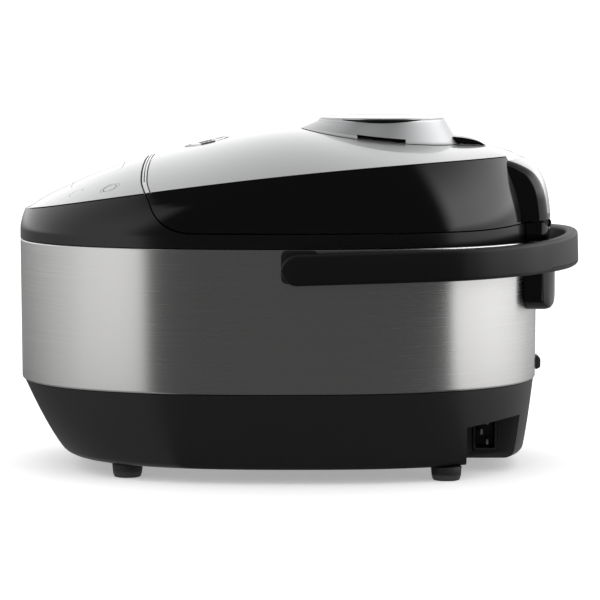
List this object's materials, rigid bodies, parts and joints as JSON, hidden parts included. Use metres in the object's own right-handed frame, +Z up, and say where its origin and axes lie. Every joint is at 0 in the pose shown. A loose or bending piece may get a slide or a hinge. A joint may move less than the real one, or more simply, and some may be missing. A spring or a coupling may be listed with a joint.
{
  "type": "rice cooker",
  "caption": "Countertop rice cooker with a hinged lid, inner pot, sloping control console, lift-off steam vent and a folding carrying handle.",
  "frame": {"origin": "centre of the bounding box's bottom face, on the floor under the feet", "axes": "+X towards the side with the power inlet, +Y towards the hinge at the rear, +Z up; the control console faces -Y"},
  "size_m": [0.2922, 0.3883, 0.2426],
  "materials": {
    "casing_black": "satin black moulded plastic",
    "gloss_black": "polished black plastic",
    "handle_black": "satin black moulded plastic",
    "rubber_black": "matt black rubber",
    "brushed_band": "finely brushed stainless steel",
    "silver_skin": "silver metallic lacquer, glossy",
    "silver_satin": "silver metallic lacquer, satin",
    "bright_trim": "bright chrome plating",
    "display_glass": "tinted clear window",
    "plain_aluminium": "pressed and cast aluminium",
    "plain_steel": "plain steel",
    "pot_coating": "dark non-stick coating",
    "brass_parts": "plain brass",
    "circuit_board": "green circuit board",
    "grey_plastic": "grey heat-resistant plastic",
    "silicone_grey": "translucent grey silicone"
  },
  "bodies": {
    "cooker": {"base_shell": "casing_black", "bottom_cover": "casing_black", "foot_front_left": "rubber_black", "foot_front_right": "rubber_black", "foot_rear_left": "rubber_black", "foot_rear_right": "rubber_black", "bottom_screw_1": "plain_steel", "bottom_screw_2": "plain_steel", "bottom_screw_3": "plain_steel", "bottom_screw_4": "plain_steel", "steel_band": "brushed_band", "rear_bumper": "rubber_black", "upper_housing": "casing_black", "control_panel": "silver_skin", "display_window": "display_glass", "control_board": "circuit_board", "power_board": "circuit_board", "inner_well": "plain_aluminium", "heating_plate": "plain_aluminium", "heater_ring": "plain_steel", "thermal_fuse": "brass_parts", "sensor_spring": "plain_steel", "sensor_bracket": "plain_steel", "inner_pot": "pot_coating", "power_inlet": "casing_black", "inlet_pin_live": "brass_parts", "inlet_pin_neutral": "brass_parts", "inlet_pin_earth": "brass_parts", "handle_plate_right": "casing_black", "handle_plate_left": "casing_black", "hinge_block": "gloss_black", "hinge_pin": "plain_steel", "hinge_spring": "plain_steel", "latch_keeper": "plain_steel"},
    "lid": {"lid_body": "gloss_black", "lid_cover": "silver_skin", "lid_trim": "bright_trim", "lid_liner": "grey_plastic", "inner_lid": "plain_aluminium", "inner_lid_gasket": "silicone_grey", "steam_tube": "silicone_grey", "lid_hinge_arm": "plain_steel", "button_ring": "bright_trim", "latch_spring": "plain_steel"},
    "release_button": {"release_button": "silver_skin"},
    "latch_hook": {"latch_hook": "grey_plastic"},
    "steam_cap": {"steam_cap_shell": "silver_satin", "steam_cap_disc": "silver_skin", "steam_cap_core": "casing_black", "steam_cap_tab": "gloss_black"},
    "condensate_collector": {"condensate_collector": "gloss_black"},
    "handle": {"handle_bail": "handle_black", "handle_grip": "handle_black", "handle_pin_right": "plain_steel", "handle_pin_left": "plain_steel"},
    "temperature_sensor": {"temperature_sensor": "plain_aluminium"},
    "start_key": {"start_key": "silver_satin"},
    "cancel_key": {"cancel_key": "silver_satin"},
    "menu_key": {"menu_key": "silver_satin"},
    "time_key": {"time_key": "silver_satin"}
  },
  "joints": [
    {"name": "lid_hinge", "type": "hinge", "parent": "cooker", "child": "lid", "pos_m": [0, 0.169, 0.1695], "axis": [-1, 0, 0], "range_deg": [0, 80]},
    {"name": "release_press", "type": "slide", "parent": "lid", "child": "release_button", "axis": [0, 0, -1], "range_m": [0, 0.003], "stiffness_N_per_m": 400, "deforming": ["latch_spring"]},
    {"name": "latch_slide", "type": "slide", "parent": "lid", "child": "latch_hook", "axis": [0, 1, 0], "range_m": [0, 0.003], "stiffness_N_per_m": 200},
    {"name": "steam_cap_lift", "type": "slide", "parent": "lid", "child": "steam_cap", "axis": [0, 0, 1], "range_m": [0, 0.03]},
    {"name": "collector_slide", "type": "slide", "parent": "cooker", "child": "condensate_collector", "axis": [0, 0, -1], "range_m": [0, 0.03]},
    {"name": "handle_pivot", "type": "hinge", "parent": "cooker", "child": "handle", "pos_m": [0, 0, 0.1452], "axis": [1, 0, 0], "range_deg": [0, 90]},
    {"name": "sensor_press", "type": "slide", "parent": "cooker", "child": "temperature_sensor", "axis": [0, 0, -1], "range_m": [0, 0.002], "stiffness_N_per_m": 500, "deforming": ["sensor_spring"]},
    {"name": "start_key_press", "type": "slide", "parent": "cooker", "child": "start_key", "axis": [0, 0, -1], "range_m": [0, 0.0006], "stiffness_N_per_m": 800},
    {"name": "cancel_key_press", "type": "slide", "parent": "cooker", "child": "cancel_key", "axis": [0, 0, -1], "range_m": [0, 0.0006], "stiffness_N_per_m": 800},
    {"name": "menu_key_press", "type": "slide", "parent": "cooker", "child": "menu_key", "axis": [0, 0, -1], "range_m": [0, 0.0006], "stiffness_N_per_m": 800},
    {"name": "time_key_press", "type": "slide", "parent": "cooker", "child": "time_key", "axis": [0, 0, -1], "range_m": [0, 0.0006], "stiffness_N_per_m": 800}
  ],
  "couplings": [
    {"joint": "latch_slide", "follows": "release_press", "ratio": 1}
  ]
}
